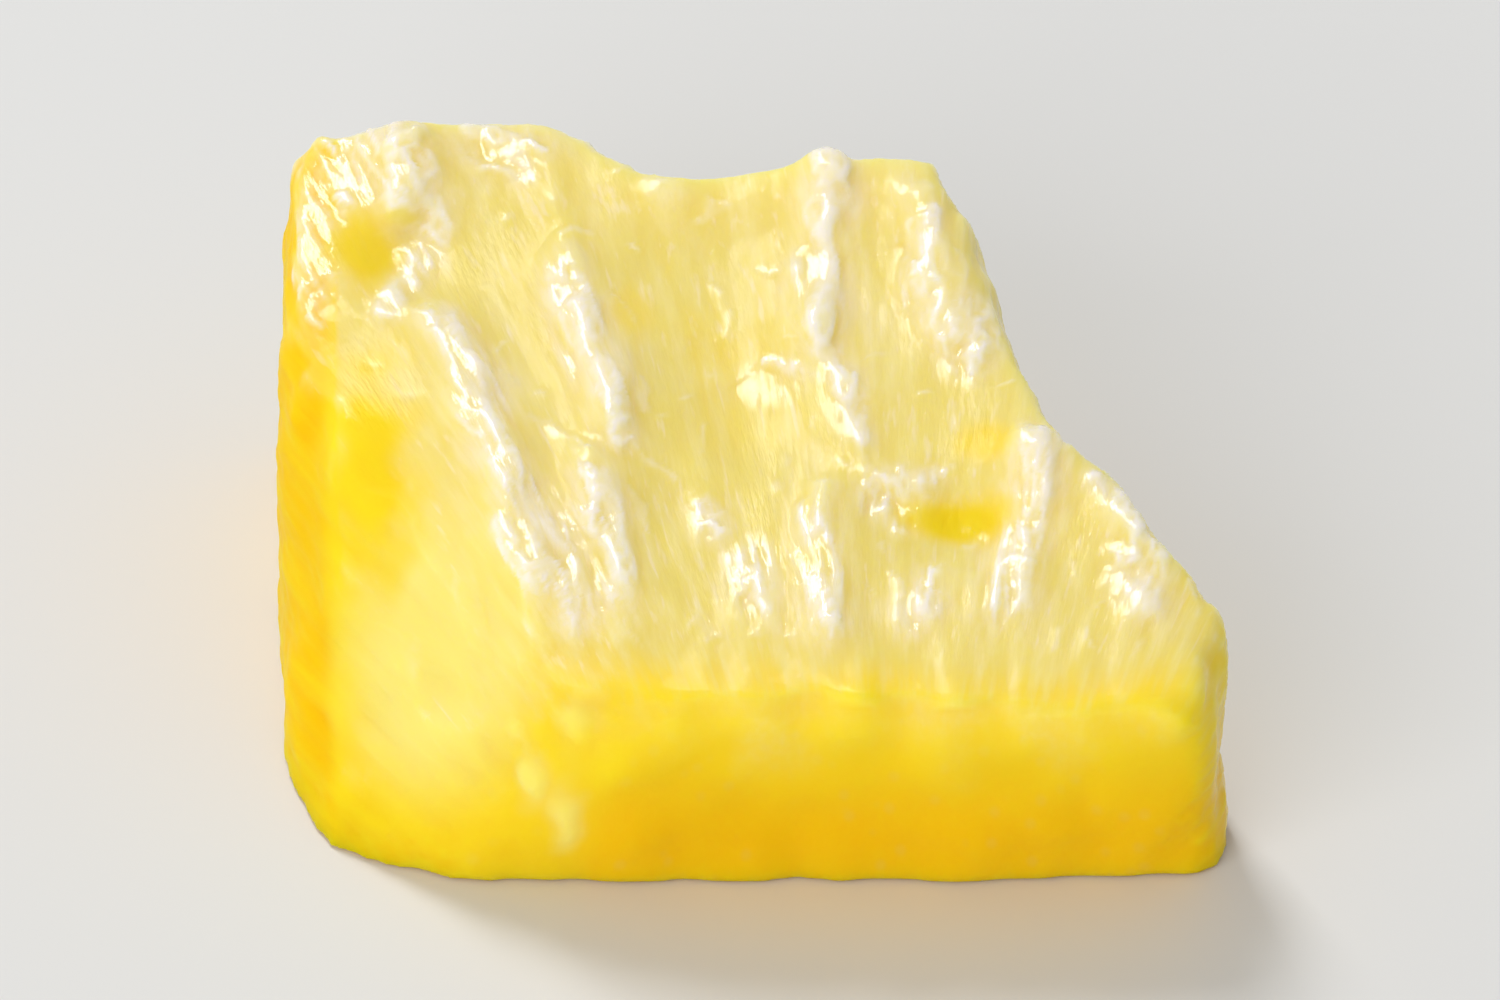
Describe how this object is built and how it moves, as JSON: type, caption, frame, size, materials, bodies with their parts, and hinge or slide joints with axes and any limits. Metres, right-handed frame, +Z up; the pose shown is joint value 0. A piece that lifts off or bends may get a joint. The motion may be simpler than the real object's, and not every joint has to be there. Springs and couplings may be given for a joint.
{
  "type": "pineapple chunk",
  "caption": "Hand-cut wedge of fresh pineapple flesh: wet fibrous upper face, pared rind corner, slanting side cut and a stepped core side, lying on its flat lower face.",
  "frame": {"origin": "middle of the bounding box's base, on the surface that the chunk lies on", "axes": "+Z up out of the slice face, +Y towards the side that faced the fruit's core, +X to the right seen from the rind side"},
  "size_m": [0.0234, 0.021, 0.0098],
  "materials": {
    "pineapple_flesh": "wet translucent fruit flesh, pale cream yellow on the slice face and golden towards the rind"
  },
  "bodies": {
    "root": {"pineapple_chunk": "pineapple_flesh"}
  },
  "joints": []
}
